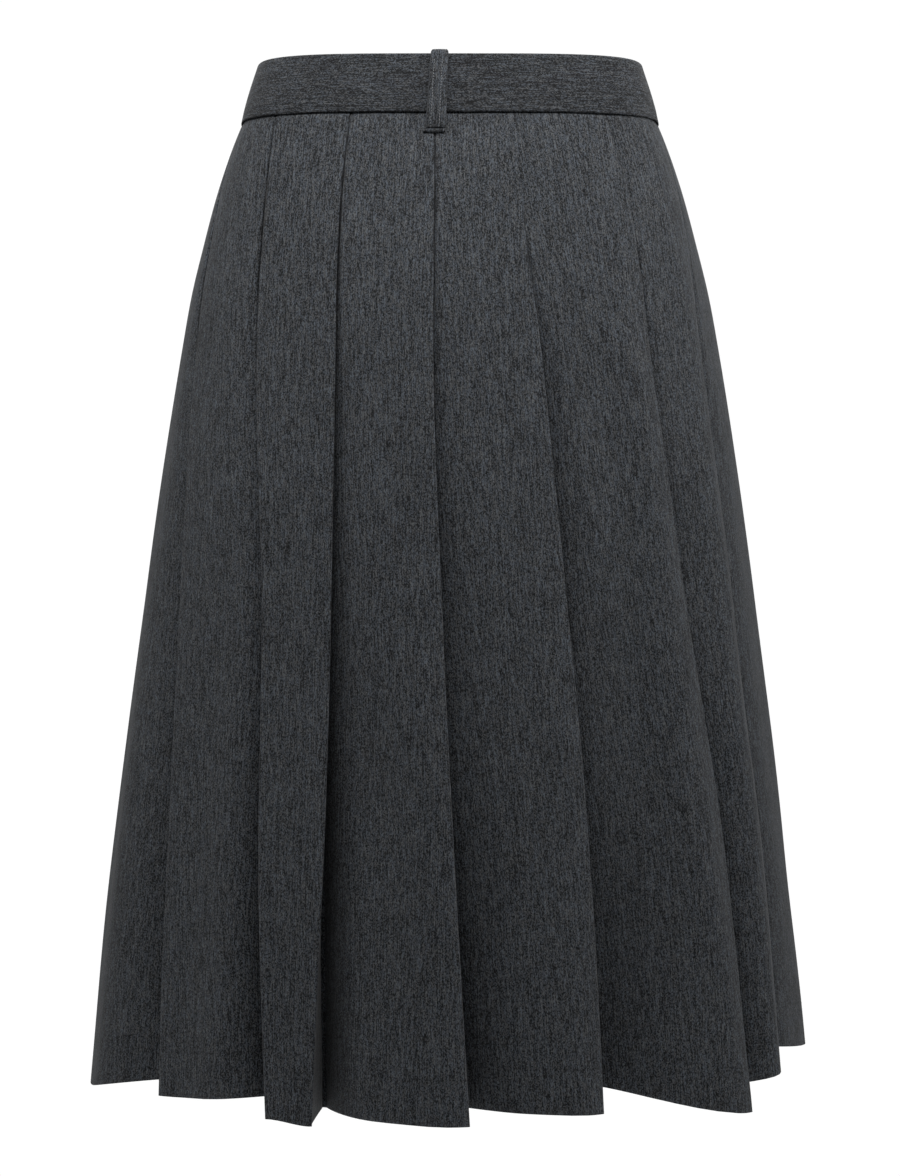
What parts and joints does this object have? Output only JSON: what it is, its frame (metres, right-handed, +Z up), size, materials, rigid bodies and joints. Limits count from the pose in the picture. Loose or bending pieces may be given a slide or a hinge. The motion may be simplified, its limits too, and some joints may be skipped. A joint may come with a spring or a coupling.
{
  "type": "pleated skirt",
  "caption": "Knee-length to midi pleated skirt in worn, filled-out shape: waistband with belt loops over a flared tube of knife pleats, open at waist and hem.",
  "frame": {"origin": "middle of the waist opening, level with the seam between waistband and pleated cloth", "axes": "+Z up towards the waistband's top edge, -Y towards the centre of the back, +X towards the side that is on the right when the back is seen"},
  "size_m": [0.4839, 0.4195, 0.6898],
  "materials": {
    "skirt_cloth": "charcoal melange twill, matte",
    "band_cloth": "charcoal melange twill turned through a right angle, matte"
  },
  "bodies": {
    "root": {"skirt_back": "skirt_cloth", "skirt_front": "skirt_cloth", "waistband": "band_cloth", "belt_loop_back": "band_cloth", "belt_loop_front_left": "band_cloth", "belt_loop_front_right": "band_cloth"}
  },
  "joints": []
}
